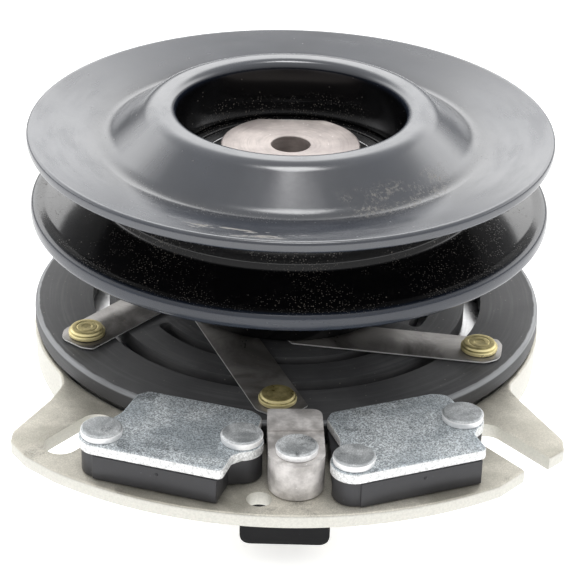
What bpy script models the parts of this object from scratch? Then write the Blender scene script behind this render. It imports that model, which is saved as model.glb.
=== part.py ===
"""Electromagnetic clutch and brake with a V-belt pulley, as an assembly of separate pieces.

The shaft axis is Z. The flat underside of the field shell stands at Z = 0, on the engine's side.
The pulley is on top, and the permanent-magnet brake faces -Y. Lengths are millimetres until a
mesh is made, where MM turns them into metres.
"""
from math import atan2, cos, degrees, pi, radians, sin

import bmesh
import bpy
from mathutils import Matrix, Vector

MM = 0.001
GAP = 0.3                      # between faces that touch on the real clutch
AIR_GAP = 0.8                  # between armature and rotor while the coil is off
SEGMENTS = 40                  # facets round a large turned piece
SMALL_SEGMENTS = 24            # facets round a bearing or a hub
RIVET_SEGMENTS = 10

# Heights up the shaft axis
SHELL_TOP = 19.6
PLATE_BOTTOM = 20.3
PLATE_THICKNESS = 4.0
PLATE_TOP = PLATE_BOTTOM + PLATE_THICKNESS
ARMATURE_BOTTOM = 26.0
ARMATURE_THICKNESS = 5.5
ARMATURE_TOP = ARMATURE_BOTTOM + ARMATURE_THICKNESS
ROTOR_TOP = ARMATURE_BOTTOM - AIR_GAP
LEAF_BOTTOM = ARMATURE_TOP + GAP
LEAF_THICKNESS = 0.5
LEAF_TOP = LEAF_BOTTOM + LEAF_THICKNESS
POLE_BOTTOM = ARMATURE_TOP + GAP
POLE_TOP = POLE_BOTTOM + 3.2
LOWER_RIM = 62.8               # mid-height of the pulley's lower rim
UPPER_RIM = 86.0               # mid-height of the pulley's upper rim
CREST = 93.5                   # top of the pulley's dome
HUB_BOTTOM = 0.8
HUB_TOP = 81.0

# Radii
UPPER_RIM_R = 77.9             # 156 mm over the pulley
LOWER_RIM_R = 77.3
MOUTH_R = 34.0
GROOVE_FLOOR_R = 57.2
ARMATURE_R = 77.1
ARMATURE_BORE_R = 30.8
ROTOR_R = 73.9
CUP_R = 76.9                   # outside of the mounting plate's round cup
SHELL_R = 59.5
BARREL_R = 17.2                # the hub's barrel, which both bearings sit on
CRANK_BORE_R = 12.7            # for a one inch crankshaft
BOLT_HOLE_R = 5.8
HEAD_R = 20.8                  # the hub's head
HEAD_FLAT = 17.8               # from the axis to each flat on the head

# Ball bearings, 35 x 62 x 14
BEARING_WIDTH = 14.0
BEARING_IN_R = BARREL_R + GAP
BEARING_OUT_R = 31.0
BALL_R = 4.2
BALL_COUNT = 8
FIELD_BEARING_Z = 2.5
PULLEY_BEARING_Z = 60.7

# Leaf springs and their rivets
LEAF_COUNT = 6
FIRST_LEAF = -91.6             # azimuth of the front leaf's outer rivet
OUTER_RIVET_R = 66.5           # radius of the outer rivets' circle
LEAF_TURN = 23.0               # a leaf's turn away from pointing straight at the axis
LEAF_HALF_WIDTH = 7.25
INNER_RIVET_ALONG = 53.0       # from a leaf's outer rivet to its inner one
OUTER_SHANK_R = 2.1
INNER_SHANK_R = 1.5

# Brake, in a frame whose middle line points along -Y before it is turned
BRAKE_TURN = 2.19
POLE_SPREAD = 19.5             # each pole plate's turn either side of the post
RIVET_A = (-19.7, -100.5)
RIVET_B = (16.6, -90.5)
POST_RIVET = (0.0, -96.9)
BRAKE_SHANK_R = 2.6

# Mounting plate
FRONT_R = 111.2
SLOT_HALF_WIDTH = 5.0
LEFT_SLOT = -127.6             # azimuths of the two slots that stop the plate from turning
FORK_SLOT = -50.1
PILOT_HOLE = (-6.0, -103.6)
PILOT_HOLE_R = 3.45

# Colour, roughness and metallic value of each finish
FINISHES = {
    "e_coat": ((0.075, 0.085, 0.1), 0.3, 0.2),
    "hub_steel": ((0.5, 0.46, 0.43), 0.45, 0.9),
    "phosphate": ((0.045, 0.045, 0.05), 0.6, 0.5),
    "rotor_steel": ((0.6, 0.6, 0.6), 0.35, 0.9),
    "spring_steel": ((0.3, 0.29, 0.27), 0.4, 0.9),
    "brass": ((0.6, 0.5, 0.22), 0.35, 1.0),
    "zinc": ((0.6, 0.64, 0.68), 0.4, 0.85),
    "plate_zinc": ((0.72, 0.7, 0.65), 0.5, 0.7),
    "cast_aluminium": ((0.62, 0.6, 0.58), 0.5, 0.8),
    "magnet_plastic": ((0.05, 0.05, 0.055), 0.4, 0.0),
    "connector_plastic": ((0.02, 0.02, 0.022), 0.35, 0.0),
    "magnet": ((0.1, 0.1, 0.1), 0.6, 0.2),
    "copper": ((0.7, 0.35, 0.2), 0.35, 0.9),
    "nylon": ((0.7, 0.66, 0.55), 0.5, 0.0),
    "epoxy": ((0.06, 0.05, 0.04), 0.4, 0.0),
    "bearing_steel": ((0.65, 0.65, 0.66), 0.25, 1.0),
    "seal_rubber": ((0.03, 0.03, 0.03), 0.6, 0.0),
    "friction": ((0.16, 0.14, 0.12), 0.85, 0.0),
}


def clear_scene():
    for obj in list(bpy.data.objects):
        bpy.data.objects.remove(obj, do_unlink=True)


def make_finish(name):
    colour, roughness, metallic = FINISHES[name]
    material = bpy.data.materials.new(name)
    material.use_nodes = True
    shader = material.node_tree.nodes["Principled BSDF"]
    shader.inputs["Base Color"].default_value = (*colour, 1.0)
    shader.inputs["Roughness"].default_value = roughness
    shader.inputs["Metallic"].default_value = metallic
    material.diffuse_color = (*colour, 1.0)
    return material


def finish_of(name):
    return bpy.data.materials.get(name) or make_finish(name)


def make_axis(name, parent=None):
    empty = bpy.data.objects.new(name, None)
    empty.parent = parent
    bpy.context.scene.collection.objects.link(empty)
    return empty


def make_object(name, bm, finish, parent=None):
    """An object from a bmesh in millimetres, with its faces pointing out."""
    bmesh.ops.scale(bm, vec=(MM, MM, MM), verts=bm.verts)
    bmesh.ops.recalc_face_normals(bm, faces=bm.faces)
    mesh = bpy.data.meshes.new(name)
    bm.to_mesh(mesh)
    bm.free()
    mesh.shade_smooth()
    mesh.set_sharp_from_angle(angle=radians(35))
    mesh.materials.append(finish_of(finish))
    obj = bpy.data.objects.new(name, mesh)
    obj.parent = parent
    bpy.context.scene.collection.objects.link(obj)
    return obj


def turned(profile, segments, centre=(0.0, 0.0)):
    """A bmesh of a closed (radius, height) profile turned about a vertical axis."""
    bm = bmesh.new()
    rings = []
    for radius, height in profile:
        if radius == 0.0:
            rings.append([bm.verts.new((centre[0], centre[1], height))] * segments)
            continue
        ring = []
        for step in range(segments):
            angle = 2 * pi * step / segments
            place = (centre[0] + radius * cos(angle), centre[1] + radius * sin(angle), height)
            ring.append(bm.verts.new(place))
        rings.append(ring)
    for low, high in zip(rings, rings[1:] + rings[:1]):
        for step in range(segments):
            after = (step + 1) % segments
            corners = [low[step], low[after], high[after], high[step]]
            corners = list(dict.fromkeys(corners))
            if len(corners) > 2:
                bm.faces.new(corners)
    return bm


def lathe(name, profile, finish, parent=None, segments=SEGMENTS, centre=(0.0, 0.0)):
    return make_object(name, turned(profile, segments, centre), finish, parent)


def add_slab(bm, outline, bottom, top):
    """Adds a flat slab of a plan outline to a bmesh."""
    low = [bm.verts.new((x, y, bottom)) for x, y in outline]
    high = [bm.verts.new((x, y, top)) for x, y in outline]
    bm.faces.new(list(reversed(low)))
    bm.faces.new(high)
    for here in range(len(outline)):
        after = (here + 1) % len(outline)
        bm.faces.new([low[here], low[after], high[after], high[here]])


def slab(name, outline, bottom, top, finish, parent=None):
    bm = bmesh.new()
    add_slab(bm, outline, bottom, top)
    return make_object(name, bm, finish, parent)


def combine(target, bm, operation):
    """Cuts a bmesh in millimetres from the target, or joins it on."""
    tool = make_object("tool", bm, "zinc")
    modifier = target.modifiers.new("combine", "BOOLEAN")
    modifier.operation = operation
    modifier.solver = "EXACT"
    modifier.object = tool
    graph = bpy.context.evaluated_depsgraph_get()
    graph.update()
    result = bpy.data.meshes.new_from_object(target.evaluated_get(graph))
    target.modifiers.clear()
    target.data = result
    bpy.data.objects.remove(tool, do_unlink=True)


def circle(centre, radius, steps=RIVET_SEGMENTS, start=0.0, sweep=360.0):
    """Points round a circle, or along an arc of it when the sweep is under a full turn."""
    count = steps if abs(sweep) >= 360.0 else steps + 1
    angles = [radians(start + sweep * step / steps) for step in range(count)]
    return [(centre[0] + radius * cos(a), centre[1] + radius * sin(a)) for a in angles]


def rectangle(low, high):
    return [(low[0], low[1]), (high[0], low[1]), (high[0], high[1]), (low[0], high[1])]


def turn(points, angle):
    rotation = Matrix.Rotation(radians(angle), 2)
    return [tuple(rotation @ Vector(point)) for point in points]


def polar(radius, azimuth):
    return (radius * cos(radians(azimuth)), radius * sin(radians(azimuth)))


def banana(inner, outer, start, end, steps=10):
    """The plan of a curved slot with round ends."""
    middle = (inner + outer) / 2
    half = (outer - inner) / 2
    angles = [start + (end - start) * step / steps for step in range(steps + 1)]
    points = [polar(outer, a) for a in angles]
    points += circle(polar(middle, end), half, 4, end, 180)[1:-1]
    points += [polar(inner, a) for a in reversed(angles)]
    points += circle(polar(middle, start), half, 4, start + 180, 180)[1:-1]
    return points


def rounded_rivet(name, centre, shank_r, head_r, heights, finish, parent=None):
    """A rivet with its head on top: heights are its foot, the head's underside and the head's top."""
    foot, under, top = heights
    edge = (top - under) * 0.35
    profile = [(0.0, foot), (shank_r, foot), (shank_r, under), (head_r, under)]
    profile += [(head_r, top - edge), (head_r - edge, top), (0.0, top)]
    return lathe(name, profile, finish, parent, RIVET_SEGMENTS, centre)


# ---------------------------------------------------------------- bearings

def ball_bearing(prefix, bottom, inner_body, outer_body):
    top = bottom + BEARING_WIDTH
    middle = bottom + BEARING_WIDTH / 2
    groove = 3.9
    floor = 1.5
    inner_land = 21.4
    outer_land = 27.1
    pitch = (inner_land + outer_land) / 2
    inner_groove = pitch - BALL_R - GAP
    outer_groove = pitch + BALL_R + GAP
    inner = [(BEARING_IN_R, bottom), (inner_land, bottom), (inner_land, middle - groove)]
    inner += [(inner_groove, middle - floor), (inner_groove, middle + floor)]
    inner += [(inner_land, middle + groove), (inner_land, top), (BEARING_IN_R, top)]
    lathe(prefix + "_inner_ring", inner, "bearing_steel", inner_body, SMALL_SEGMENTS)
    outer = [(outer_land, bottom), (BEARING_OUT_R, bottom), (BEARING_OUT_R, top), (outer_land, top)]
    outer += [(outer_land, middle + groove), (outer_groove, middle + floor)]
    outer += [(outer_groove, middle - floor), (outer_land, middle - groove)]
    lathe(prefix + "_outer_ring", outer, "bearing_steel", outer_body, SMALL_SEGMENTS)
    balls_and_cage(prefix + "_balls_and_cage", pitch, middle, inner_body)
    seal_thickness = 0.6
    seal_inset = 0.2
    for side, height in (("lower", bottom + seal_inset), ("upper", top - seal_inset - seal_thickness)):
        ring = [(inner_land + GAP, height), (outer_land - GAP, height)]
        ring += [(outer_land - GAP, height + seal_thickness), (inner_land + GAP, height + seal_thickness)]
        lathe(prefix + "_" + side + "_seal", ring, "seal_rubber", inner_body, SMALL_SEGMENTS)


def balls_and_cage(name, pitch, middle, parent):
    """The balls are held by the cage that runs through them, so they are one body."""
    cage_half = 1.0
    cage_height = 1.5
    cage = [(pitch - cage_half, middle - cage_height), (pitch + cage_half, middle - cage_height)]
    cage += [(pitch + cage_half, middle + cage_height), (pitch - cage_half, middle + cage_height)]
    obj = lathe(name, cage, "bearing_steel", parent, SMALL_SEGMENTS)
    balls = bmesh.new()
    for count in range(BALL_COUNT):
        x, y = polar(pitch, 360 * count / BALL_COUNT + 5.6)
        place = Matrix.Translation((x, y, middle))
        bmesh.ops.create_uvsphere(balls, u_segments=6, v_segments=5, radius=BALL_R, matrix=place)
    combine(obj, balls, "UNION")


# ---------------------------------------------------------------- pulley

def pulley_upper_half(parent):
    """Pressed flange, valley and dome, whose mouth goes down to the bearing."""
    skin = 3.0
    top = [(UPPER_RIM_R - 0.9, UPPER_RIM + 1.4), (56.0, 83.4), (53.0, 82.9), (50.3, 83.7)]
    top += [(46.0, 87.2), (42.0, 91.2), (39.3, 93.0), (37.0, CREST), (35.2, 93.0), (MOUTH_R, 91.4)]
    sleeve_bottom = 75.5
    under = [(MOUTH_R, sleeve_bottom), (MOUTH_R + 2.5, sleeve_bottom), (MOUTH_R + 2.5, 89.8)]
    under += [(39.6, 89.2), (44.0, 84.8), (48.6, 80.9), (53.0, 82.9 - skin), (56.4, 83.4 - skin)]
    rim = [(UPPER_RIM_R - 0.9, UPPER_RIM - 1.4), (UPPER_RIM_R, UPPER_RIM - 0.6), (UPPER_RIM_R, UPPER_RIM + 0.6)]
    lathe("pulley_upper_half", top + under + rim, "e_coat", parent)


def pulley_lower_half(parent):
    """Lower flange, groove floor and the bearing hub, whose foot carries the leaf springs."""
    foot_bottom = LEAF_TOP + GAP
    foot_top = foot_bottom + 3.4
    hub_r = 35.6
    profile = [(21.5, foot_bottom), (33.5, foot_bottom), (33.5, foot_top), (hub_r, foot_top + 2.5)]
    profile += [(hub_r, 61.0), (54.0, 64.2), (73.2, 60.6), (75.4, 60.0), (LOWER_RIM_R, 61.2)]
    profile += [(LOWER_RIM_R, 64.4), (75.6, 65.5), (72.5, 65.2), (GROOVE_FLOOR_R + 0.8, 68.4)]
    profile += [(GROOVE_FLOOR_R, 69.6), (GROOVE_FLOOR_R, 79.5), (53.5, 79.5), (53.5, 68.0), (40.0, 66.5)]
    profile += [(36.5, 75.2), (BEARING_OUT_R + GAP, 75.2), (BEARING_OUT_R + GAP, PULLEY_BEARING_Z - GAP)]
    profile += [(21.5, PULLEY_BEARING_Z - GAP)]
    lower = lathe("pulley_lower_half", profile, "e_coat", parent)
    holes = bmesh.new()
    for azimuth in leaf_azimuths():
        centre = along_leaf(azimuth, INNER_RIVET_ALONG)
        add_slab(holes, circle(centre, INNER_SHANK_R + GAP), foot_bottom - 1, foot_top + 3)
    combine(lower, holes, "DIFFERENCE")


def leaf_azimuths():
    return [FIRST_LEAF + 360 / LEAF_COUNT * count for count in range(LEAF_COUNT)]


def leaf_point(azimuth, along, across):
    """A point of a leaf, measured from its outer rivet."""
    base = Vector(polar(OUTER_RIVET_R, azimuth))
    heading = azimuth + 180 + LEAF_TURN
    return base + Vector(polar(along, heading)) + Vector(polar(across, heading + 90))


def along_leaf(azimuth, along):
    return tuple(leaf_point(azimuth, along, 0.0))


def leaf_springs(parent):
    half = LEAF_HALF_WIDTH
    corners = [(-6.4, -3.6), (-4.4, -half), (53.0, -half), (58.0, -3.0), (58.0, 3.0), (54.0, half)]
    corners += [(-2.6, half), (-6.4, 3.6)]
    for count, azimuth in enumerate(leaf_azimuths(), 1):
        outline = [leaf_point(azimuth, along, across) for along, across in corners]
        leaf = slab(f"leaf_spring_{count}", outline, LEAF_BOTTOM, LEAF_TOP, "spring_steel", parent)
        holes = bmesh.new()
        add_slab(holes, circle(along_leaf(azimuth, 0.0), OUTER_SHANK_R + GAP), LEAF_BOTTOM - 1, LEAF_TOP + 1)
        inner = along_leaf(azimuth, INNER_RIVET_ALONG)
        add_slab(holes, circle(inner, INNER_SHANK_R + GAP), LEAF_BOTTOM - 1, LEAF_TOP + 1)
        combine(leaf, holes, "DIFFERENCE")


def pulley_rivets(parent):
    """The heads are under the leaves, and the shanks go up into the pulley's foot."""
    head_top = LEAF_BOTTOM - GAP
    head_r = 2.9
    shank_top = LEAF_TOP + GAP + 3.9
    for count, azimuth in enumerate(leaf_azimuths(), 1):
        centre = along_leaf(azimuth, INNER_RIVET_ALONG)
        profile = [(0.0, head_top - 1.6), (head_r - 0.6, head_top - 1.6), (head_r, head_top - 1.0)]
        profile += [(head_r, head_top), (INNER_SHANK_R, head_top), (INNER_SHANK_R, shank_top), (0.0, shank_top)]
        lathe(f"pulley_rivet_{count}", profile, "brass", parent, RIVET_SEGMENTS, centre)


# ---------------------------------------------------------------- rotor and hub

def hub(parent):
    head_bottom = PULLEY_BEARING_Z + BEARING_WIDTH + GAP
    web_bottom = 69.0
    profile = [(CRANK_BORE_R, HUB_BOTTOM), (BARREL_R, HUB_BOTTOM), (BARREL_R, head_bottom)]
    profile += [(HEAD_R, head_bottom), (HEAD_R, HUB_TOP - 0.6), (HEAD_R - 0.6, HUB_TOP)]
    profile += [(BOLT_HOLE_R, HUB_TOP), (BOLT_HOLE_R, web_bottom), (CRANK_BORE_R, web_bottom)]
    obj = lathe("hub", profile, "hub_steel", parent, SMALL_SEGMENTS)
    key_half = 3.2
    key_depth = 14.9
    cuts = bmesh.new()
    add_slab(cuts, rectangle((-key_half, 10.0), (key_half, key_depth)), HUB_BOTTOM - 1, web_bottom - 1)
    for side in (-1, 1):
        edges = sorted((side * HEAD_FLAT, side * (HEAD_R + 2)))
        add_slab(cuts, rectangle((-HEAD_R, edges[0]), (HEAD_R, edges[1])), head_bottom - 1, HUB_TOP + 1)
    combine(obj, cuts, "DIFFERENCE")


def spacer_sleeve(parent):
    bottom = ROTOR_TOP + 0.6 + GAP
    top = PULLEY_BEARING_Z - GAP
    profile = [(BEARING_IN_R, bottom), (19.4, bottom), (19.4, top), (BEARING_IN_R, top)]
    lathe("spacer_sleeve", profile, "hub_steel", parent, SMALL_SEGMENTS)


def hub_snap_ring(parent):
    bottom = HUB_BOTTOM + 0.1
    top = FIELD_BEARING_Z - GAP
    profile = [(BEARING_IN_R, bottom), (20.3, bottom), (20.3, top), (BEARING_IN_R, top)]
    lathe("hub_snap_ring", profile, "bearing_steel", parent, SMALL_SEGMENTS)


def rotor_disc(parent):
    under = SHELL_TOP + 0.6
    ring_bottom = 13.5
    boss_bottom = FIELD_BEARING_Z + BEARING_WIDTH + GAP
    seat = ROTOR_TOP - 1.2
    lining_in = 62.0
    lining_out = 70.0
    profile = [(BEARING_IN_R, boss_bottom), (23.5, boss_bottom), (23.5, under), (SHELL_R + 0.7, under)]
    profile += [(SHELL_R + 0.7, ring_bottom), (66.0, ring_bottom), (66.0, under), (ROTOR_R, under)]
    profile += [(ROTOR_R, ROTOR_TOP), (lining_out, ROTOR_TOP), (lining_out, seat), (lining_in, seat)]
    profile += [(lining_in, ROTOR_TOP)]
    profile += [(24.0, ROTOR_TOP), (24.0, ROTOR_TOP + 0.6), (BEARING_IN_R, ROTOR_TOP + 0.6)]
    obj = lathe("rotor_disc", profile, "rotor_steel", parent)
    slots = bmesh.new()
    for count in range(4):
        start = 90 * count + 8
        add_slab(slots, banana(47.0, 51.0, start, start + 74, 8), under - 1, ROTOR_TOP + 1)
    combine(obj, slots, "DIFFERENCE")
    ring = [(lining_in + GAP, seat + GAP), (lining_out - GAP, seat + GAP)]
    ring += [(lining_out - GAP, ROTOR_TOP), (lining_in + GAP, ROTOR_TOP)]
    lathe("friction_ring", ring, "friction", parent)


# ---------------------------------------------------------------- armature

def armature_plate(parent):
    edge = 1.2
    profile = [(ARMATURE_BORE_R, ARMATURE_BOTTOM), (ARMATURE_R - 0.5, ARMATURE_BOTTOM)]
    profile += [(ARMATURE_R, ARMATURE_BOTTOM + 0.5), (ARMATURE_R, ARMATURE_TOP - edge)]
    profile += [(ARMATURE_R - edge, ARMATURE_TOP), (ARMATURE_BORE_R, ARMATURE_TOP)]
    obj = lathe("armature_plate", profile, "phosphate", parent)
    cuts = bmesh.new()
    for count in range(3):
        inner_start = -146 + 120 * count
        outer_start = -86 + 120 * count
        add_slab(cuts, banana(41.0, 45.0, inner_start, inner_start + 108), ARMATURE_BOTTOM - 1, ARMATURE_TOP + 1)
        add_slab(cuts, banana(54.5, 59.5, outer_start, outer_start + 108), ARMATURE_BOTTOM - 1, ARMATURE_TOP + 1)
    for azimuth in leaf_azimuths():
        hole = circle(along_leaf(azimuth, 0.0), OUTER_SHANK_R + GAP)
        add_slab(cuts, hole, ARMATURE_BOTTOM - 1, ARMATURE_TOP + 1)
    combine(obj, cuts, "DIFFERENCE")


def armature_rivets(parent):
    foot = ARMATURE_BOTTOM + 0.2
    under = LEAF_TOP + GAP
    for count, azimuth in enumerate(leaf_azimuths(), 1):
        heights = (foot, under, under + 2.3)
        rounded_rivet(f"armature_rivet_{count}", along_leaf(azimuth, 0.0), OUTER_SHANK_R, 5.4, heights,
                      "brass", parent)


# ---------------------------------------------------------------- field

def plate_edge():
    """The flange's plan outline, from where it leaves the cup on the left round to the right."""
    left = [(-66.3, -38.3), (-64.6, -47.5), (-66.6, -55.5), (-75.0, -73.0)]
    left += [(-75.0, -77.9), (-72.2, -82.4)]
    front = [polar(FRONT_R, azimuth) for azimuth in range(-124, -57, 6)]
    right = [(66.2, -86.0), (74.2, -79.2), (77.8, -75.4), (78.0, -70.7), (67.9, -49.5), (66.2, -44.6), (66.3, -38.3)]
    return left + front + right


def edge_radius(azimuth, outline):
    """How far the outline is from the shaft axis in one direction."""
    heading = radians(azimuth)
    for (x0, y0), (x1, y1) in zip(outline, outline[1:]):
        if degrees(atan2(y0, x0)) <= azimuth <= degrees(atan2(y1, x1)):
            return (x0 * y1 - x1 * y0) / (cos(heading) * (y1 - y0) - sin(heading) * (x1 - x0))
    return CUP_R


def plate_section(azimuth, outline):
    """The (radius, height) section of the drawn cup and its flange in one direction."""
    skin = 1.7
    floor_bottom = 10.0
    floor_top = 12.5
    hole_r = SHELL_R + GAP
    wall = CUP_R
    inner = wall - skin
    edge = max(edge_radius(azimuth, outline), wall + 0.25)
    corner = 5.0
    section = [(hole_r, floor_bottom), (wall - corner, floor_bottom)]
    section += [(wall - corner * 0.3, floor_bottom + corner * 0.3), (wall, floor_bottom + corner)]
    section += [(wall, PLATE_BOTTOM), (edge, PLATE_BOTTOM), (edge, PLATE_TOP), (inner, PLATE_TOP)]
    section += [(inner, floor_top + 4.0), (inner - 4.0, floor_top), (hole_r, floor_top)]
    return section


def mounting_plate():
    outline = plate_edge()
    corners = [degrees(atan2(y, x)) for x, y in outline if y < 0]
    azimuths = sorted(set(corners + [float(step) for step in range(-180, 180, 6) if not -130 < step < -50]))
    bm = bmesh.new()
    rings = []
    for azimuth in azimuths:
        heading = radians(azimuth)
        section = plate_section(azimuth, outline)
        rings.append([bm.verts.new((r * cos(heading), r * sin(heading), z)) for r, z in section])
    for here, after in zip(rings, rings[1:] + rings[:1]):
        for low in range(len(here)):
            high = (low + 1) % len(here)
            bm.faces.new([here[low], after[low], after[high], here[high]])
    plate = make_object("mounting_plate", bm, "plate_zinc")
    combine(plate, plate_cuts(), "DIFFERENCE")


def plate_cuts():
    """The pilot hole, the closed slot, the open fork slot and the rivets' holes."""
    low = PLATE_BOTTOM - 1
    high = PLATE_TOP + 1
    cuts = bmesh.new()
    add_slab(cuts, circle(PILOT_HOLE, PILOT_HOLE_R, 16), low, high)
    half = SLOT_HALF_WIDTH
    closed = circle((100.0, 0.0), half, 6, -90, 180) + circle((86.0, 0.0), half, 6, 90, 180)
    add_slab(cuts, turn(closed, LEFT_SLOT), low, high)
    fork = [(FRONT_R + 5, -half), (FRONT_R + 5, half)] + circle((89.0, 0.0), half, 6, 90, 180)
    add_slab(cuts, turn(fork, FORK_SLOT), low, high)
    for centre in brake_rivet_centres():
        add_slab(cuts, circle(centre, BRAKE_SHANK_R + GAP), low, high)
    return cuts


def field_shell():
    bore = BEARING_OUT_R + GAP
    inner_wall = 38.9
    outer_wall = 55.8
    floor = 4.0
    profile = [(28.5, 0.0), (57.5, 0.0), (SHELL_R, 2.0), (SHELL_R, SHELL_TOP), (outer_wall, SHELL_TOP)]
    profile += [(outer_wall, floor), (inner_wall, floor), (inner_wall, SHELL_TOP), (34.0, SHELL_TOP)]
    profile += [(bore, 17.0), (bore, FIELD_BEARING_Z - GAP), (28.5, FIELD_BEARING_Z - GAP)]
    lathe("field_shell", profile, "hub_steel")
    coil_pieces(inner_wall + GAP, outer_wall - GAP, floor + GAP)


def coil_pieces(inner, outer, bottom):
    """A nylon bobbin with its copper winding, under a ring of epoxy."""
    skin = 1.3
    bobbin_top = 16.8
    core = inner + skin
    bobbin = [(inner, bottom), (outer, bottom), (outer, bottom + skin), (core, bottom + skin)]
    bobbin += [(core, bobbin_top - skin), (outer, bobbin_top - skin), (outer, bobbin_top), (inner, bobbin_top)]
    lathe("coil_bobbin", bobbin, "nylon")
    low = bottom + skin + GAP
    high = bobbin_top - skin - GAP
    winding = [(core + GAP, low), (outer - GAP, low), (outer - GAP, high), (core + GAP, high)]
    lathe("coil_winding", winding, "copper")
    potting = [(inner, bobbin_top + GAP), (outer, bobbin_top + GAP), (outer, SHELL_TOP - GAP)]
    potting += [(inner, SHELL_TOP - GAP)]
    lathe("coil_potting", potting, "epoxy")


# ---------------------------------------------------------------- brake

def pole_turns():
    return {"left": BRAKE_TURN - POLE_SPREAD, "right": BRAKE_TURN + POLE_SPREAD}


def brake_rivet_centres():
    centres = []
    for angle in pole_turns().values():
        centres += turn([RIVET_A, RIVET_B], angle)
    return centres + turn([POST_RIVET], BRAKE_TURN)


def pole_outline():
    """One pole plate in plan: a block with a round lobe at each rivet."""
    lobe_r = 6.3
    inner_lobe_r = 5.9
    points = [(-18.4, -78.2), (-16.0, -75.4), (14.4, -75.4), (17.4, -77.2), (18.8, -81.2)]
    points += circle(RIVET_B, inner_lobe_r, 7, 55, -125)
    points += [(16.8, -98.4), (16.5, -104.9), (14.9, -106.8)]
    points += circle(RIVET_A, lobe_r, 7, -90, -135)
    points += [(-20.2, -91.8), (-18.7, -87.6)]
    return points


def housing_outline():
    """The magnet housing in plan: a block with a round boss under each rivet."""
    boss_r = 5.6
    points = [(-18.4, -79.0), (16.6, -79.0), (17.8, -84.4)]
    points += circle(RIVET_B, boss_r, 7, 70, -150)
    points += [(15.2, -97.2), (15.2, -106.9), (-20.0, -106.9), (-20.1, -106.2)]
    points += circle(RIVET_A, boss_r, 7, -95, -130)
    return points


def brake_side(side, angle):
    housing_bottom = PLATE_TOP + GAP
    housing_top = POLE_BOTTOM - GAP
    magnet_floor = housing_bottom + 1.2
    low = (-13.0, -99.0)
    high = (10.0, -82.0)
    pole = slab(f"brake_pole_plate_{side}", turn(pole_outline(), angle), POLE_BOTTOM, POLE_TOP, "zinc")
    housing = slab(f"magnet_housing_{side}", turn(housing_outline(), angle), housing_bottom, housing_top,
                   "magnet_plastic")
    pole_holes = bmesh.new()
    pocket = bmesh.new()
    add_slab(pocket, turn(rectangle(low, high), angle), magnet_floor, housing_top + 1)
    magnet_low = (low[0] + GAP, low[1] + GAP)
    magnet_high = (high[0] - GAP, high[1] - GAP)
    slab(f"brake_magnet_{side}", turn(rectangle(magnet_low, magnet_high), angle), magnet_floor + GAP,
         housing_top, "magnet")
    for centre, label in zip(turn([RIVET_A, RIVET_B], angle), ("outer", "inner")):
        hole = circle(centre, BRAKE_SHANK_R + GAP)
        add_slab(pole_holes, hole, POLE_BOTTOM - 1, POLE_TOP + 1)
        add_slab(pocket, hole, housing_bottom - 1, housing_top + 1)
        brake_rivet(f"brake_rivet_{side}_{label}", centre, POLE_TOP + GAP)
    combine(pole, pole_holes, "DIFFERENCE")
    combine(housing, pocket, "DIFFERENCE")


def brake_rivet(name, centre, under):
    """A zinc-plated rivet whose foot is flush in the mounting plate."""
    rounded_rivet(name, centre, BRAKE_SHANK_R, 5.75, (PLATE_BOTTOM + 0.2, under, under + 2.0), "zinc")


def brake_post():
    """An upright with a round front, whose raised ledge reaches back over the armature's rim."""
    radius = 7.6
    back = -79.2
    ledge_back = -76.4
    ledge_front = -87.2
    top = POLE_TOP + 0.2
    body = [(POST_RIVET[0] + radius, back), (POST_RIVET[0] - radius, back)]
    body += circle(POST_RIVET, radius, 12, 180, 180)
    post = slab("brake_post", turn(body, BRAKE_TURN), PLATE_TOP + GAP, top, "cast_aluminium")
    ledge = bmesh.new()
    corner = 2.4
    ledge_half = radius - 0.1
    left = POST_RIVET[0] - ledge_half
    right = POST_RIVET[0] + ledge_half
    plan = [(left, ledge_front), (right, ledge_front), (right, ledge_back - corner)]
    plan += [(right - corner, ledge_back), (left, ledge_back)]
    add_slab(ledge, turn(plan, BRAKE_TURN), POLE_BOTTOM, top + 0.7)
    combine(post, ledge, "UNION")
    hole = bmesh.new()
    centre = turn([POST_RIVET], BRAKE_TURN)[0]
    add_slab(hole, circle(centre, BRAKE_SHANK_R + GAP), PLATE_TOP - 1, top + 2)
    combine(post, hole, "DIFFERENCE")
    brake_rivet("brake_post_rivet", centre, top + GAP)


# ---------------------------------------------------------------- connector

def connector():
    """A socket under the front of the plate, open downwards, with two blades in it."""
    middle = 1.0
    half_width = 12.2
    front = -99.6
    back = -83.0
    bottom = 7.0
    top = PLATE_BOTTOM - GAP
    wall = 1.8
    roof = top - 2.4
    bm = bmesh.new()
    corner = 2.5
    face = [(middle - half_width, top), (middle - half_width, bottom + corner)]
    face += [(middle - half_width + corner, bottom), (middle + half_width - corner, bottom)]
    face += [(middle + half_width, bottom + corner), (middle + half_width, top)]
    near = [bm.verts.new((x, front, z)) for x, z in face]
    far = [bm.verts.new((x, back, z)) for x, z in face]
    bm.faces.new(near)
    bm.faces.new(list(reversed(far)))
    for here in range(len(face)):
        after = (here + 1) % len(face)
        bm.faces.new([near[here], far[here], far[after], near[after]])
    body = make_object("connector_housing", bm, "connector_plastic")
    socket = bmesh.new()
    low = (middle - half_width + 2.6, front + wall)
    high = (middle + half_width - 2.6, back - wall)
    add_slab(socket, rectangle(low, high), bottom - 1, roof)
    combine(body, socket, "DIFFERENCE")
    for side, offset in (("left", -6.5), ("right", 6.5)):
        blade = rectangle((middle + offset - 0.4, -94.4), (middle + offset + 0.4, -88.2))
        slab(f"connector_blade_{side}", blade, bottom + 1.0, roof - GAP, "brass")


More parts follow.
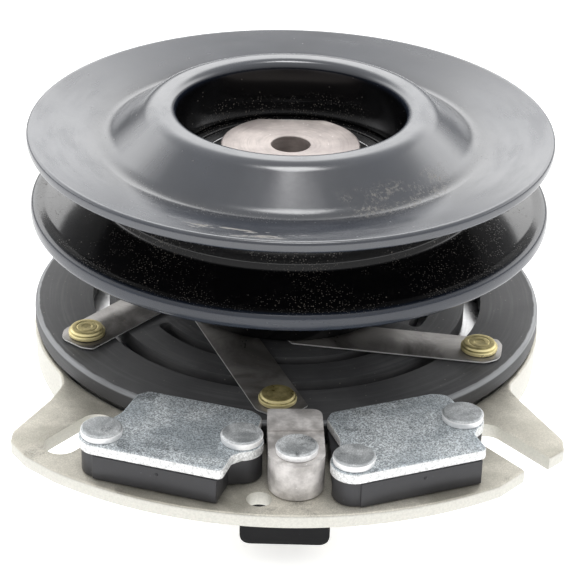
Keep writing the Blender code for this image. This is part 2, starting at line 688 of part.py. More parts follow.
def build():
    clear_scene()
    rotor_axis = make_axis("rotor_axis")
    pulley_axis = make_axis("pulley_axis", rotor_axis)
    armature_axis = make_axis("armature_axis", pulley_axis)
    mounting_plate()
    field_shell()
    ball_bearing("field_bearing", FIELD_BEARING_Z, rotor_axis, None)
    for side, angle in pole_turns().items():
        brake_side(side, angle)
    brake_post()
    connector()
    hub(rotor_axis)
    spacer_sleeve(rotor_axis)
    hub_snap_ring(rotor_axis)
    rotor_disc(rotor_axis)
    ball_bearing("pulley_bearing", PULLEY_BEARING_Z, rotor_axis, pulley_axis)
    pulley_upper_half(pulley_axis)
    pulley_lower_half(pulley_axis)
    leaf_springs(pulley_axis)
    pulley_rivets(pulley_axis)
    armature_plate(armature_axis)
    armature_rivets(armature_axis)


build()
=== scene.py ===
from math import atan2, cos, degrees, pi, radians, sin, tan

import bmesh
import bpy
from mathutils import Matrix, Quaternion, Vector


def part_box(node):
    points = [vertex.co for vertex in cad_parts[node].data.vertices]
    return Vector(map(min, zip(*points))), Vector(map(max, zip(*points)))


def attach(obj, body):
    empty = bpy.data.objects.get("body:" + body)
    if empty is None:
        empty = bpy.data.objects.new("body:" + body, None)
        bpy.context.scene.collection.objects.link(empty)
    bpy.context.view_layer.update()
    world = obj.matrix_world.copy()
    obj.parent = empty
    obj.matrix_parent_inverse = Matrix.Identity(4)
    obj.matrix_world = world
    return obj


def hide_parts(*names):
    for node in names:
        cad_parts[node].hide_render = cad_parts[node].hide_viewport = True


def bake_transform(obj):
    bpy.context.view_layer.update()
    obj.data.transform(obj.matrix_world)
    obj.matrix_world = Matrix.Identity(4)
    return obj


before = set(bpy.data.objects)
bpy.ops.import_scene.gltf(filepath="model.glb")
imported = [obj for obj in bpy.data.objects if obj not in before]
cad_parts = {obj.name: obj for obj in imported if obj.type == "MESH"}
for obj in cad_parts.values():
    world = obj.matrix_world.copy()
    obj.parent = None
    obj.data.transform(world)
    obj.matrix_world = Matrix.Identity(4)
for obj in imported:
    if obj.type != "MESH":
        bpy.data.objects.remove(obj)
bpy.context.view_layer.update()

MM = 0.001
FINE = 224                     # facets round a large turned piece
MEDIUM = 112                   # facets round a hub or bearing
SMALL = 56                     # facets round a rivet
SHARP = 38.0                   # degrees between faces above which an edge stays sharp
SPRINGS = 6                    # leaf springs, each with one rivet at either end
LEAF_TURN = 23.0               # degrees that a leaf is turned away from the shaft
LEAF_HALF = 7.25               # half of a leaf's width
BRASS_HEAD = 2.3               # height of a brass rivet's head
ZINC_HEAD = 2.0                # height of a zinc rivet's head
POLE_SPREAD = 19.5             # degrees from the brake's middle line to each pole plate
MOUTH_R = 34.0                 # radius of the opening in the pulley's dome
TUBE_R = 36.5                  # radius at which the two pulley halves meet below the dome
PULLEY_BORE = 21.5             # radius of the opening in the pulley's foot
SHELL_GAP = 59.8               # radius of the round opening in the mounting plate
SLOT_HALF = 5.0                # half of the width of the plate's two slots
SLOT_LEFT = -127.6             # degrees: where the closed slot lies
SLOT_RIGHT = -50.1             # degrees: where the open slot lies
MATERIALS = {}


def low(node):
    """The lowest corner of a CAD node, in millimetres."""
    return [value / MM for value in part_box(node)[0]]


def high(node):
    """The highest corner of a CAD node, in millimetres."""
    return [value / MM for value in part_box(node)[1]]


def centre(node):
    """The middle of a CAD node in plan."""
    return tuple((a + b) / 2 for a, b in zip(low(node)[:2], high(node)[:2]))


# ---------------------------------------------------------------- mesh tools

def rounded(corners, steps=5):
    """A closed outline with each (x, y, radius) corner turned into a smooth curve.

    A corner of radius 0 stays as it is.
    """
    points = []
    for index, (x, y, radius) in enumerate(corners):
        corner = Vector((x, y))
        if radius == 0:
            points.append((x, y))
            continue
        before = Vector(corners[index - 1][:2]) - corner
        after = Vector(corners[(index + 1) % len(corners)][:2]) - corner
        half = max(before.angle(after) / 2, 0.05)
        reach = min(radius / tan(half), 0.48 * before.length, 0.48 * after.length)
        start = corner + before.normalized() * reach
        end = corner + after.normalized() * reach
        for step in range(steps + 1):
            t = step / steps
            points.append(tuple(start * (1 - t) ** 2 + corner * 2 * t * (1 - t) + end * t * t))
    return points


def polar(radius, azimuth):
    return (radius * cos(radians(azimuth)), radius * sin(radians(azimuth)))


def arc(middle, radius, start, sweep, steps=24):
    points = [polar(radius, start + sweep * step / steps) for step in range(steps + 1)]
    return [(middle[0] + x, middle[1] + y) for x, y in points]


def turn(points, angle):
    rotation = Matrix.Rotation(radians(angle), 2)
    return [tuple(rotation @ Vector(point)) for point in points]


def to_object(name, bm):
    """An object from a bmesh in millimetres, with its faces pointing out."""
    bmesh.ops.remove_doubles(bm, verts=bm.verts, dist=0.0005)
    bmesh.ops.scale(bm, vec=(MM, MM, MM), verts=bm.verts)
    bmesh.ops.recalc_face_normals(bm, faces=bm.faces)
    mesh = bpy.data.meshes.new(name)
    bm.to_mesh(mesh)
    bm.free()
    mesh.shade_smooth()
    mesh.set_sharp_from_angle(angle=radians(SHARP))
    obj = bpy.data.objects.new(name, mesh)
    bpy.context.scene.collection.objects.link(obj)
    return obj


def turned(profile, segments, middle=(0.0, 0.0)):
    """A bmesh of a closed (radius, height) profile turned about a vertical axis."""
    bm = bmesh.new()
    x, y = middle
    angles = [2 * pi * step / segments for step in range(segments)]
    rings = []
    for radius, height in profile:
        if radius < 0.001:
            rings.append([bm.verts.new((x, y, height))] * segments)
            continue
        rings.append([bm.verts.new((x + radius * cos(a), y + radius * sin(a), height)) for a in angles])
    for inner, outer in zip(rings, rings[1:] + rings[:1]):
        for step in range(segments):
            after = (step + 1) % segments
            corners = list(dict.fromkeys([inner[step], inner[after], outer[after], outer[step]]))
            if len(corners) > 2:
                bm.faces.new(corners)
    return bm


def lathe(name, profile, segments=FINE, middle=(0.0, 0.0)):
    return to_object(name, turned(profile, segments, middle))


def add_slab(bm, outline, bottom, top):
    below = [bm.verts.new((x, y, bottom)) for x, y in outline]
    above = [bm.verts.new((x, y, top)) for x, y in outline]
    bm.faces.new(list(reversed(below)))
    bm.faces.new(above)
    for here in range(len(outline)):
        after = (here + 1) % len(outline)
        bm.faces.new([below[here], below[after], above[after], above[here]])


def slab(name, outline, bottom, top):
    bm = bmesh.new()
    add_slab(bm, outline, bottom, top)
    return to_object(name, bm)


def settle(obj):
    """Makes the object's modifiers part of its mesh."""
    graph = bpy.context.evaluated_depsgraph_get()
    graph.update()
    mesh = bpy.data.meshes.new_from_object(obj.evaluated_get(graph))
    obj.modifiers.clear()
    obj.data = mesh
    mesh.shade_smooth()
    mesh.set_sharp_from_angle(angle=radians(SHARP))


def combine(obj, bm, operation="DIFFERENCE"):
    tool = to_object("tool", bm)
    modifier = obj.modifiers.new("combine", "BOOLEAN")
    modifier.operation = operation
    modifier.solver = "EXACT"
    modifier.object = tool
    settle(obj)
    bpy.data.objects.remove(tool, do_unlink=True)


def soften(obj, width, segments=3, angle=40.0):
    """Rounds the object's sharp edges."""
    modifier = obj.modifiers.new("soften", "BEVEL")
    modifier.width = width * MM
    modifier.segments = segments
    modifier.limit_method = "ANGLE"
    modifier.angle_limit = radians(angle)
    settle(obj)


def banana(inner, outer, start, end, steps=72):
    """The plan of a curved slot with round ends."""
    middle = (inner + outer) / 2
    half = (outer - inner) / 2
    angles = [start + (end - start) * step / steps for step in range(steps + 1)]
    points = [polar(outer, a) for a in angles]
    points += arc(polar(middle, end), half, end, 180, 12)[1:-1]
    points += [polar(inner, a) for a in reversed(angles)]
    points += arc(polar(middle, start), half, start + 180, 180, 12)[1:-1]
    return points


# ---------------------------------------------------------------- materials

class Finish:
    """Builds one procedural material, node by node."""

    def __init__(self, name, **sockets):
        self.material = bpy.data.materials.new(name)
        self.material.use_nodes = True
        self.tree = self.material.node_tree
        self.shader = self.tree.nodes["Principled BSDF"]
        for socket, value in sockets.items():
            self.shader.inputs[socket.replace("_", " ")].default_value = value
        self.place = self.node("ShaderNodeTexCoord").outputs["Object"]

    def node(self, kind, **values):
        made = self.tree.nodes.new(kind)
        for key, value in values.items():
            setattr(made, key, value)
        return made

    def link(self, source, target):
        if isinstance(source, (int, float)):
            target.default_value = source
        else:
            self.tree.links.new(source, target)

    def math(self, operation, a, b=0.0, clamp=False):
        made = self.node("ShaderNodeMath", operation=operation, use_clamp=clamp)
        self.link(a, made.inputs[0])
        self.link(b, made.inputs[1])
        return made.outputs[0]

    def noise(self, scale, detail=4.0, roughness=0.55, place=None, distortion=0.0):
        made = self.node("ShaderNodeTexNoise")
        made.inputs["Scale"].default_value = scale
        made.inputs["Detail"].default_value = detail
        made.inputs["Roughness"].default_value = roughness
        made.inputs["Distortion"].default_value = distortion
        self.tree.links.new(place or self.place, made.inputs["Vector"])
        return made.outputs["Fac"]

    def remap(self, value, start, end, new_start=0.0, new_end=1.0):
        made = self.node("ShaderNodeMapRange", interpolation_type="SMOOTHSTEP")
        self.link(value, made.inputs["Value"])
        limits = (("From Min", start), ("From Max", end), ("To Min", new_start), ("To Max", new_end))
        for socket, number in limits:
            made.inputs[socket].default_value = number
        return made.outputs["Result"]

    def mix(self, share, a, b):
        made = self.node("ShaderNodeMix", data_type="RGBA")
        self.link(share, made.inputs["Factor"])
        for source, target in ((a, made.inputs["A"]), (b, made.inputs["B"])):
            if isinstance(source, tuple):
                target.default_value = (*source, 1.0)
            else:
                self.tree.links.new(source, target)
        return made.outputs["Result"]

    def mix_value(self, share, a, b):
        made = self.node("ShaderNodeMix", data_type="FLOAT")
        self.link(share, made.inputs["Factor"])
        self.link(a, made.inputs["A"])
        self.link(b, made.inputs["B"])
        return made.outputs["Result"]

    def axes(self):
        split = self.node("ShaderNodeSeparateXYZ")
        self.tree.links.new(self.place, split.inputs[0])
        return split.outputs

    def radius(self):
        x, y, _ = self.axes()
        square = self.math("ADD", self.math("MULTIPLY", x, x), self.math("MULTIPLY", y, y))
        return self.math("SQRT", square)

    def lathe_place(self, along, across):
        """A place that changes slowly round the shaft and fast across it, for turning marks."""
        x, y, z = self.axes()
        radius = self.math("MAXIMUM", self.radius(), 0.0005)
        joined = self.node("ShaderNodeCombineXYZ")
        self.link(self.math("MULTIPLY", self.math("DIVIDE", x, radius), along), joined.inputs[0])
        self.link(self.math("MULTIPLY", self.math("DIVIDE", y, radius), along), joined.inputs[1])
        self.link(self.math("MULTIPLY", self.math("ADD", radius, z), across), joined.inputs[2])
        return joined.outputs[0]

    def upward(self):
        """1 on faces that look up, 0 on side faces."""
        split = self.node("ShaderNodeSeparateXYZ")
        self.tree.links.new(self.node("ShaderNodeNewGeometry").outputs["Normal"], split.inputs[0])
        return self.remap(split.outputs["Z"], 0.35, 0.8)

    def specks(self, scale, size, amount):
        """Scattered grains of dust: amount is the share of the cells that hold a grain."""
        cells = self.node("ShaderNodeTexVoronoi")
        cells.inputs["Scale"].default_value = scale
        self.tree.links.new(self.place, cells.inputs["Vector"])
        dot = self.remap(cells.outputs["Distance"], size, size * 0.45)
        chance = self.node("ShaderNodeSeparateColor")
        self.tree.links.new(cells.outputs["Color"], chance.inputs[0])
        chosen = self.math("LESS_THAN", chance.outputs[0], amount)
        return self.math("MULTIPLY", dot, chosen)

    def bump(self, height, distance, strength):
        made = self.node("ShaderNodeBump")
        made.inputs["Distance"].default_value = distance * MM
        made.inputs["Strength"].default_value = strength
        self.tree.links.new(height, made.inputs["Height"])
        self.tree.links.new(made.outputs["Normal"], self.shader.inputs["Normal"])

    def done(self, colour, roughness):
        self.tree.links.new(colour, self.shader.inputs["Base Color"])
        self.link(roughness, self.shader.inputs["Roughness"])
        return self.material


def e_coat():
    """Glossy black electro-coat, with dust in the groove, scuffs at the foot of the dome, and painted shade
    that turns the groove and the inside of the mouth near-black.
    """
    f = Finish("e_coat", IOR=1.9)
    x, y, z = f.axes()
    radius = f.radius()
    patches = f.noise(28.0, 5.0)
    base = f.mix(f.remap(patches, 0.3, 0.75), (0.009, 0.013, 0.023), (0.016, 0.022, 0.036))
    groove = f.math("MULTIPLY", f.remap(z, 0.0625, 0.0645), f.remap(z, 0.085, 0.081))
    groove = f.math("MULTIPLY", groove, f.remap(radius, 0.0772, 0.0745))
    inside = f.math("MULTIPLY", f.remap(radius, 0.0365, 0.035), f.remap(z, 0.0925, 0.09))
    painted_shade = f.math("MAXIMUM", groove, inside)
    # painted shade: the groove between the flanges and the inside of the mouth are coloured near-black, with
    # lower gloss and reflection
    base = f.mix(painted_shade, base, (0.0025, 0.0025, 0.003))
    clouds = f.remap(f.noise(45.0, 6.0, 0.7), 0.4, 0.7)
    fine_dust = f.math("MULTIPLY", f.specks(1500.0, 0.34, 0.8), clouds)
    coarse_dust = f.specks(560.0, 0.15, 0.2)
    in_groove = f.math("MULTIPLY", f.math("ADD", fine_dust, coarse_dust, clamp=True), groove)
    on_top = f.math("MULTIPLY", f.specks(330.0, 0.1, 0.1), 0.45)
    bore = f.math("MULTIPLY", inside, f.math("MULTIPLY", f.specks(700.0, 0.2, 0.14), 0.5))
    dust = f.math("ADD", f.math("ADD", in_groove, on_top, clamp=True), bore, clamp=True)
    scuff = scuffs(f, radius, x, y, z)
    colour = f.mix(f.math("MULTIPLY", dust, 0.55), base, (0.3, 0.27, 0.23))
    colour = f.mix(f.math("MULTIPLY", scuff, 0.6), colour, (0.32, 0.29, 0.24))
    rubbed = f.remap(f.noise(1.0, 6.0, 0.6, f.lathe_place(3.0, 160.0)), 0.35, 0.8, 0.0, 0.12)
    rough = f.math("ADD", f.remap(patches, 0.3, 0.75, 0.16, 0.24), rubbed)
    rough = f.mix_value(painted_shade, rough, 0.14)
    rough = f.mix_value(f.math("MAXIMUM", dust, scuff), rough, 0.75)
    shine = f.mix_value(f.remap(z, 0.0675, 0.066), 0.5, 0.28)
    f.link(f.mix_value(painted_shade, shine, 0.2), f.shader.inputs["Specular IOR Level"])
    grain = f.math("ADD", f.noise(420.0, 3.0), f.math("MULTIPLY", dust, 3.0))
    f.bump(grain, 0.03, 0.3)
    return f.done(colour, rough)


def scuffs(f, radius, x, y, z):
    """Where the paint is rubbed: streaks round the dome's foot and towards the rim, at the front."""
    streaks = f.noise(1.0, 5.0, 0.7, f.lathe_place(5.0, 300.0))
    clouds = f.remap(f.noise(70.0, 5.0, 0.7), 0.42, 0.62)
    foot = f.math("MULTIPLY", f.remap(radius, 0.047, 0.052), f.remap(radius, 0.06, 0.054))
    outer = f.math("MULTIPLY", f.remap(radius, 0.066, 0.069), f.remap(radius, 0.0765, 0.073))
    span = f.math("MULTIPLY", f.remap(x, 0.004, 0.02), f.remap(x, 0.052, 0.036))
    right = f.math("MULTIPLY", foot, span)
    span = f.math("MULTIPLY", f.remap(x, -0.034, -0.022), f.remap(x, 0.008, -0.006))
    left = f.math("MULTIPLY", outer, span)
    grit = f.remap(f.noise(900.0, 4.0, 0.7), 0.45, 0.62)
    worn = f.math("MULTIPLY", right, f.math("MULTIPLY", clouds, grit))
    worn = f.math("ADD", worn, f.math("MULTIPLY", left, f.remap(streaks, 0.56, 0.62)), clamp=True)
    front = f.math("MULTIPLY", f.remap(y, 0.0, -0.03), f.remap(z, 0.081, 0.082))
    return f.math("MULTIPLY", worn, front)


def plated(name, metal, dark, light, edge, patch_scale, stain, tearing, grit):
    """Zinc-plated steel: mottled and grainy on its faces, broken on its sheared edges, whose side faces get
    the edge colour, partly the bare sheared steel and partly a painted highlight.
    """
    f = Finish(name, Metallic=metal)
    patches = f.noise(patch_scale, 6.0, 0.62, distortion=0.5)
    grain = f.noise(2500.0, 3.0, 0.7)
    stains = f.remap(f.noise(patch_scale * 1.3, 5.0, 0.65, distortion=0.4), 0.55, 0.7, 0.0, stain)
    face = f.mix(f.remap(patches, 0.35, 0.68), dark, light)
    speckle = f.remap(grain, 0.4, 0.62)
    face = f.mix(f.math("MULTIPLY", f.math("SUBTRACT", 1.0, speckle), grit), face,
                 tuple(value * 0.35 for value in dark))
    stains = f.math("MULTIPLY", stains, f.remap(grain, 0.62, 0.42, 0.45, 1.0))
    face = f.mix(stains, face, tuple(value * 0.2 for value in dark))
    torn = f.noise(1500.0, 5.0, 0.75)
    side = f.mix(f.remap(torn, 0.36, 0.62, tearing, 0.0), edge, tuple(value * 0.4 for value in edge))
    up = f.upward()
    # side faces take the edge colour by their normal: partly bare sheared steel, partly a painted highlight
    colour = f.mix(up, side, face)
    rough = f.mix_value(up, f.remap(torn, 0.3, 0.7, 0.45, 0.62), f.remap(patches, 0.3, 0.7, 0.42, 0.6))
    f.bump(f.math("ADD", f.math("MULTIPLY", grain, 0.5), f.math("MULTIPLY", torn, 0.5)), 0.05, 0.5)
    return f.done(colour, rough)


def armature_black():
    """Dark phosphate with faint turning marks, a rim rubbed bright by the brake, and painted shade on the
    outer side face.
    """
    f = Finish("phosphate", IOR=1.5, Metallic=0.1)
    radius = f.radius()
    _, _, z = f.axes()
    patches = f.noise(40.0, 6.0, 0.65)
    marks = f.noise(1.0, 5.0, 0.6, f.lathe_place(2.2, 900.0))
    base = f.mix(f.remap(patches, 0.32, 0.72), (0.05, 0.05, 0.053), (0.1, 0.1, 0.102))
    base = f.mix(f.remap(marks, 0.45, 0.8, 0.0, 0.35), base, (0.2, 0.2, 0.2))
    base = f.mix(f.math("MULTIPLY", f.specks(700.0, 0.2, 0.12), 0.6), base, (0.3, 0.28, 0.25))
    worn = f.math("ADD", radius, f.math("MULTIPLY", f.noise(160.0, 5.0), 0.0011))
    band = f.math("MULTIPLY", f.remap(worn, 0.0761, 0.0765), f.remap(z, 0.0302, 0.0308))
    band = f.math("MULTIPLY", band, f.remap(marks, 0.2, 0.6, 0.2, 0.9))
    # painted shade: the disc's outer side face is coloured darker
    side = f.remap(radius, 0.07695, 0.07706)
    base = f.mix(f.math("MULTIPLY", side, 0.6), base, (0.015, 0.015, 0.016))
    colour = f.mix(band, base, (0.28, 0.29, 0.3))
    rough = f.mix_value(band, f.remap(patches, 0.3, 0.7, 0.5, 0.66), 0.27)
    f.bump(f.math("ADD", f.noise(700.0, 4.0, 0.7), f.math("MULTIPLY", marks, 0.4)), 0.06, 0.5)
    return f.done(colour, rough)


def strip_steel():
    """Rolled spring strip, smudged grey, with a bright sheared edge that is partly the bare cut steel and
    partly a painted highlight.
    """
    f = Finish("spring_steel", Metallic=0.6)
    smudge = f.noise(55.0, 6.0, 0.65, distortion=0.8)
    fine = f.noise(1100.0, 3.0, 0.6)
    face = f.mix(f.remap(smudge, 0.32, 0.7), (0.16, 0.15, 0.14), (0.42, 0.4, 0.38))
    face = f.mix(f.math("MULTIPLY", f.specks(620.0, 0.2, 0.2), 0.5), face, (0.45, 0.38, 0.26))
    # side faces get a pale colour by their normal: partly bare sheared steel, partly a painted highlight
    colour = f.mix(f.upward(), (0.75, 0.75, 0.74), face)
    f.bump(f.math("ADD", fine, f.math("MULTIPLY", smudge, 0.5)), 0.03, 0.4)
    return f.done(colour, f.remap(smudge, 0.3, 0.72, 0.27, 0.45))


def grained(name, dark, light, scale, rough, metallic=0.0, depth=0.04, marks=0.0, specks=0.0, **sockets):
    """A plain material: two tones, uneven gloss, a grain, and turning marks or specks if it has them."""
    f = Finish(name, Metallic=metallic, **sockets)
    patches = f.noise(scale, 6.0, 0.62)
    grain = f.noise(scale * 16.0, 4.0, 0.65)
    colour = f.mix(f.remap(patches, 0.3, 0.72), dark, light)
    height = grain
    if marks:
        lines = f.noise(1.0, 4.0, 0.6, f.lathe_place(1.5, 1500.0))
        colour = f.mix(f.remap(lines, 0.4, 0.75, 0.0, marks), colour, tuple(value * 0.5 for value in dark))
        height = f.math("ADD", grain, f.math("MULTIPLY", lines, 1.5))
    if specks:
        colour = f.mix(f.math("MULTIPLY", f.specks(800.0, 0.22, specks), 0.6), colour,
                       tuple(min(value * 2.6, 0.9) for value in light))
    f.bump(height, depth, 0.5)
    return f.done(colour, f.remap(patches, 0.3, 0.72, rough[0], rough[1]))


def brass():
    """Brass rivets, stained on top, with a painted highlight that makes the side faces round the rim bright.
    """
    f = Finish("brass", Metallic=0.65)
    stain = f.noise(240.0, 6.0, 0.7)
    face = f.mix(f.remap(stain, 0.35, 0.68), (0.34, 0.28, 0.11), (0.68, 0.58, 0.27))
    # painted highlight: side faces are coloured bright brass by their normal
    colour = f.mix(f.upward(), (0.95, 0.84, 0.45), face)
    f.bump(f.noise(1500.0, 4.0, 0.7), 0.03, 0.5)
    return f.done(colour, f.remap(stain, 0.3, 0.7, 0.26, 0.45))


def make_materials():
    plated_looks = {
        # edge is the colour of the side faces: partly bare sheared steel, partly a painted highlight
        "zinc": dict(metal=0.55, dark=(0.55, 0.61, 0.65), light=(0.86, 0.9, 0.92), edge=(0.98, 0.99, 0.99),
                     patch_scale=60.0, stain=0.95, tearing=0.7, grit=0.9),
        "rivet_zinc": dict(metal=0.6, dark=(0.4, 0.42, 0.43), light=(0.75, 0.77, 0.78),
                           edge=(0.99, 0.99, 0.99), patch_scale=130.0, stain=0.8, tearing=0.15, grit=0.4),
        "plate_zinc": dict(metal=0.7, dark=(0.42, 0.4, 0.34), light=(0.72, 0.69, 0.61),
                           edge=(0.66, 0.65, 0.6), patch_scale=34.0, stain=0.6, tearing=0.25, grit=0.25),
    }
    grained_looks = {
        "hub_steel": dict(dark=(0.38, 0.335, 0.32), light=(0.66, 0.6, 0.57), scale=90.0,
                          rough=(0.42, 0.6), metallic=0.8, depth=0.06, marks=0.3, specks=0.05),
        "rotor_steel": dict(dark=(0.5, 0.5, 0.5), light=(0.8, 0.8, 0.8), scale=90.0,
                            rough=(0.25, 0.42), metallic=0.9, marks=0.25),
        "bearing_steel": dict(dark=(0.55, 0.55, 0.56), light=(0.7, 0.7, 0.71), scale=80.0,
                              rough=(0.16, 0.28), metallic=1.0, depth=0.015, marks=0.15),
        "cast_aluminium": dict(dark=(0.38, 0.36, 0.345), light=(0.86, 0.83, 0.81), scale=160.0,
                               rough=(0.45, 0.62), metallic=0.45, depth=0.1, specks=0.12),
        "magnet_plastic": dict(dark=(0.02, 0.02, 0.023), light=(0.034, 0.034, 0.038), scale=70.0,
                               rough=(0.36, 0.52), depth=0.03, specks=0.06, IOR=1.5),
        "connector_plastic": dict(dark=(0.003, 0.003, 0.004), light=(0.007, 0.007, 0.008), scale=80.0,
                                  rough=(0.4, 0.55), depth=0.05, specks=0.06, IOR=1.28),
        "seal_rubber": dict(dark=(0.012, 0.012, 0.012), light=(0.03, 0.03, 0.03), scale=90.0,
                            rough=(0.5, 0.7), depth=0.05, marks=0.2, specks=0.1),
        "friction": dict(dark=(0.07, 0.06, 0.05), light=(0.16, 0.14, 0.11), scale=160.0,
                         rough=(0.75, 0.92), depth=0.15, marks=0.2, specks=0.3),
        "magnet": dict(dark=(0.05, 0.05, 0.055), light=(0.1, 0.1, 0.105), scale=120.0,
                       rough=(0.5, 0.7), metallic=0.3),
        "copper": dict(dark=(0.5, 0.2, 0.09), light=(0.75, 0.36, 0.19), scale=90.0,
                       rough=(0.25, 0.4), metallic=0.95, depth=0.08, marks=0.4),
        "nylon": dict(dark=(0.6, 0.56, 0.46), light=(0.72, 0.68, 0.58), scale=50.0, rough=(0.4, 0.55)),
        "epoxy": dict(dark=(0.03, 0.025, 0.02), light=(0.07, 0.06, 0.045), scale=60.0,
                      rough=(0.25, 0.45), depth=0.06, specks=0.1),
    }
    MATERIALS["e_coat"] = e_coat()
    MATERIALS["phosphate"] = armature_black()
    MATERIALS["spring_steel"] = strip_steel()
    MATERIALS["brass"] = brass()
    for name, look in plated_looks.items():
        MATERIALS[name] = plated(name, **look)
    for name, look in grained_looks.items():
        MATERIALS[name] = grained(name, **look)


def dress(piece, slot, body, *nodes, look=None):
    """Gives a piece its finish and its body, and hides the CAD nodes that it stands for."""
    piece.data.materials.clear()
    piece.data.materials.append(MATERIALS[look or slot])
    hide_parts(*nodes)
    if body:
        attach(piece, body)
    return piece


# ---------------------------------------------------------------- pulley

def pulley_upper():
    rim = high("pulley_upper_half")[0]
    crest = high("pulley_upper_half")[2]
    brow = crest + 0.1
    mouth = crest - 18.0
    corners = [(rim, 87.7, 1.5), (54.6, 82.9, 7.0), (41.6, brow, 7.0), (MOUTH_R, brow, 3.0)]
    corners += [(MOUTH_R, mouth, 0.5), (TUBE_R, mouth, 0.3), (TUBE_R, 89.6, 1.5), (40.2, 89.9, 5.0)]
    corners += [(53.0, 79.4, 7.0), (rim - 0.2, 84.3, 1.2)]
    piece = lathe("upper_flange_and_dome", rounded(corners, 9))
    dress(piece, "e_coat", "pulley", "pulley_upper_half")


def pulley_lower():
    rim = high("pulley_lower_half")[0]
    foot = low("pulley_lower_half")[2]
    bearing_r = 31.3
    seat = low("pulley_bearing_outer_ring")[2] - 0.3
    collar = 75.2
    corners = [(PULLEY_BORE, foot, 0.4), (33.5, foot, 0.6), (33.5, foot + 3.6, 1.0), (35.6, foot + 6.0, 1.5)]
    corners += [(35.6, 61.0, 3.0), (54.0, 64.3, 8.0), (72.4, 60.6, 5.0), (rim, 59.9, 2.4), (rim, 65.6, 2.3)]
    corners += [(72.8, 65.0, 3.0), (58.0, 68.4, 1.6), (57.2, 70.4, 1.6), (57.2, 79.4, 0.3), (53.5, 79.4, 0.3)]
    corners += [(53.5, 68.0, 1.0), (40.0, 66.5, 1.5), (TUBE_R, collar, 0.5), (bearing_r, collar, 0.7)]
    corners += [(bearing_r, seat, 0.3), (PULLEY_BORE, seat, 0.6)]
    piece = lathe("lower_flange_and_hub", rounded(corners, 6))
    dress(piece, "e_coat", "pulley", "pulley_lower_half")


def leaf_outline():
    """A leaf in its own frame: x runs from its outer rivet towards the inner one."""
    end, tip = -6.6, 58.0
    return rounded([(end, -4.2, 2.6), (-5.0, -LEAF_HALF, 1.2), (53.2, -LEAF_HALF, 0.9), (tip, -3.2, 0.9),
                    (tip, 3.2, 0.9), (54.2, LEAF_HALF, 0.9), (-2.4, LEAF_HALF, 4.5), (end, 4.0, 4.5)], 4)


def leaf_springs():
    for number in range(1, SPRINGS + 1):
        node = f"leaf_spring_{number}"
        hinge = centre(f"armature_rivet_{number}")
        heading = degrees(atan2(hinge[1], hinge[0])) + 180 + LEAF_TURN
        outline = [(hinge[0] + p[0], hinge[1] + p[1]) for p in turn(leaf_outline(), heading)]
        height = low(node)[2]
        piece = slab(f"spring_leaf_{number}", outline, height, high(node)[2])
        soften(piece, 0.14, 2)
        dress(piece, "spring_steel", None, node)
        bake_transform(piece)


def stepped_head(foot, shank, under, rim):
    """A brass rivet's profile: a round rim, a step and a ringed top."""
    top = under + BRASS_HEAD
    ring = top - 0.07
    corners = [(0.0, foot, 0), (shank, foot, 0.1), (shank, under, 0.1), (rim, under, 0.35)]
    corners += [(rim, under + 1.3, 0.4), (rim - 0.55, under + 1.5, 0.2), (rim - 0.75, top, 0.4)]
    corners += [(3.3, top, 0.1), (3.15, ring, 0.1), (2.9, ring, 0.1), (2.75, top, 0.1)]
    corners += [(1.6, top, 0.1), (1.4, ring, 0.1), (0.0, ring, 0)]
    return rounded(corners, 3)


def brass_rivets():
    shank = 2.1
    for number in range(1, SPRINGS + 1):
        outer = f"armature_rivet_{number}"
        rim = (high(outer)[0] - low(outer)[0]) / 2
        profile = stepped_head(low(outer)[2], shank, high(outer)[2] - BRASS_HEAD, rim)
        piece = lathe(f"brass_rivet_{number}", profile, SMALL, centre(outer))
        dress(piece, "brass", "armature", outer)


# ---------------------------------------------------------------- armature and rotor

def armature():
    bottom = low("armature_plate")[2]
    top = high("armature_plate")[2]
    rim = high("armature_plate")[0]
    bore = 30.8
    corners = [(bore, bottom, 0.4), (rim, bottom, 0.6), (rim, top, 1.6), (bore, top, 0.5)]
    piece = lathe("armature_disc", rounded(corners, 6))
    slots = bmesh.new()
    sweep = 108
    for count in range(3):
        for inner, outer, first in ((41.0, 45.0, -146), (54.5, 59.5, -86)):
            start = first + 120 * count
            add_slab(slots, banana(inner, outer, start, start + sweep), bottom - 1, top + 1)
    combine(piece, slots)
    soften(piece, 0.55, 3, 55.0)
    dress(piece, "phosphate", "armature", "armature_plate")


def rotor():
    node = "rotor_disc"
    rim = high(node)[0]
    top = high("friction_ring")[2]
    ring_bottom = low(node)[2]
    under = 20.2
    inner = 17.5
    boss = 16.8
    seat = top - 1.2
    corners = [(inner, boss, 0.2), (23.5, boss, 0.3), (23.5, under, 0.5), (60.2, under, 0.5)]
    corners += [(60.2, ring_bottom, 0.4), (66.0, ring_bottom, 0.4), (66.0, under, 0.5), (rim, under, 0.5)]
    corners += [(rim, top, 0.6), (70.0, top, 0.15), (70.0, seat, 0.1), (62.0, seat, 0.1), (62.0, top, 0.15)]
    corners += [(24.0, top, 0.2), (24.0, top + 0.6, 0.2), (inner, top + 0.6, 0.2)]
    piece = lathe("rotor_face", rounded(corners, 3))
    slots = bmesh.new()
    sweep = 74
    for count in range(4):
        start = 90 * count + 8
        add_slab(slots, banana(47.0, 51.0, start, start + sweep), under - 1, top + 1)
    combine(piece, slots)
    dress(piece, "rotor_steel", "rotor", node)


